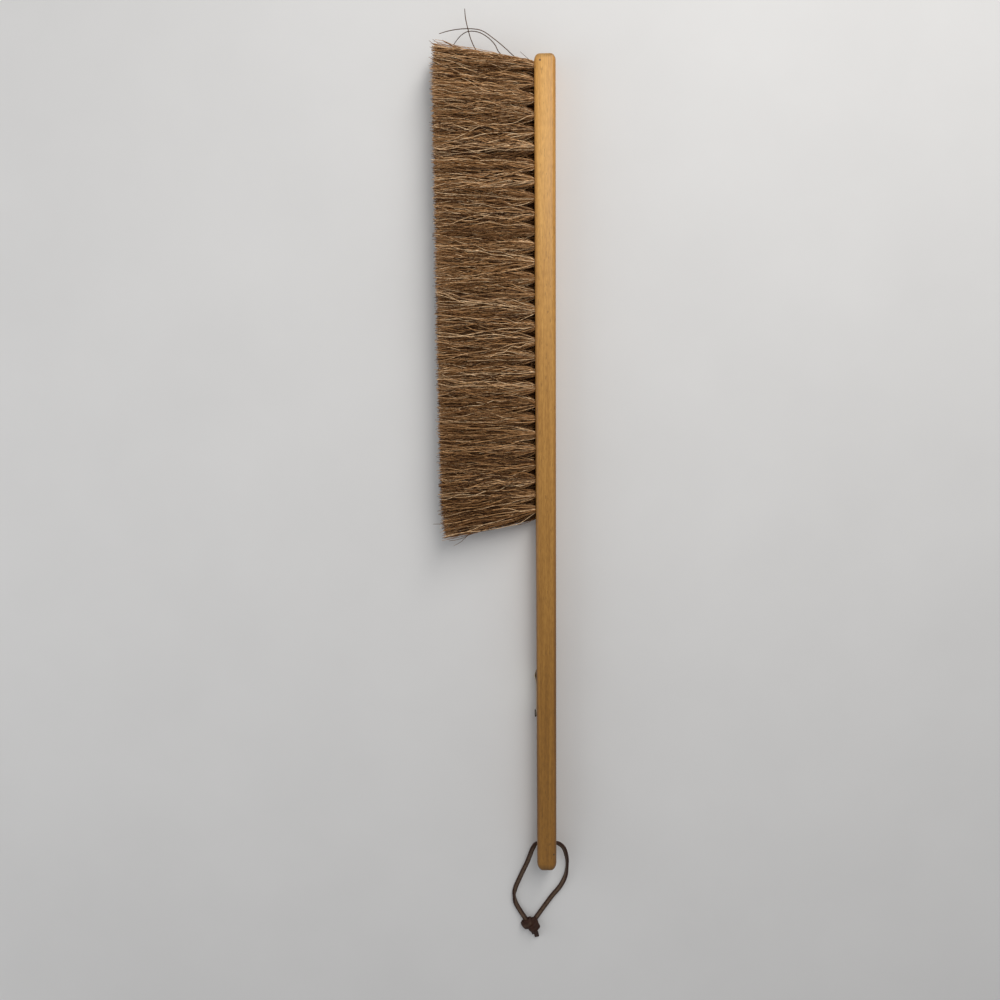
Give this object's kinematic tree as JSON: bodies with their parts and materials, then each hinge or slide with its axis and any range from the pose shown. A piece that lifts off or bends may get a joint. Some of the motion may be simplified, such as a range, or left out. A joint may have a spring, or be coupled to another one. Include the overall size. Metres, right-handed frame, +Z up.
{
  "type": "snow brush",
  "caption": "Long wooden snow brush with staggered rows of horsehair tufts along half of a one-piece bar and a knotted leather hanging lace at the handle's end.",
  "frame": {"origin": "middle of the long edge that the bar lies on", "axes": "+Y along the bar from the lace to the tufts, -X the way the tufts point, +Z up"},
  "size_m": [0.1128, 0.776, 0.0342],
  "materials": {
    "lacquered_wood": "honey-coloured hardwood under glossy lacquer, worn on the edges",
    "horsehair": "brown natural horsehair, slightly glossy",
    "leather": "dark brown flat leather lace, matt with a worn sheen"
  },
  "bodies": {
    "brush": {"handle_bar": "lacquered_wood", "tuft_row_lower": "horsehair", "tuft_row_middle": "horsehair", "tuft_row_upper": "horsehair"},
    "hang_loop": {"hang_lace": "leather", "lace_knot": "leather"}
  },
  "joints": [
    {"name": "loop_swing", "type": "hinge", "parent": "brush", "child": "hang_loop", "pos_m": [0, -0.3229, 0.0143], "axis": [-1, 0, 0], "range_deg": [0, 150]}
  ]
}
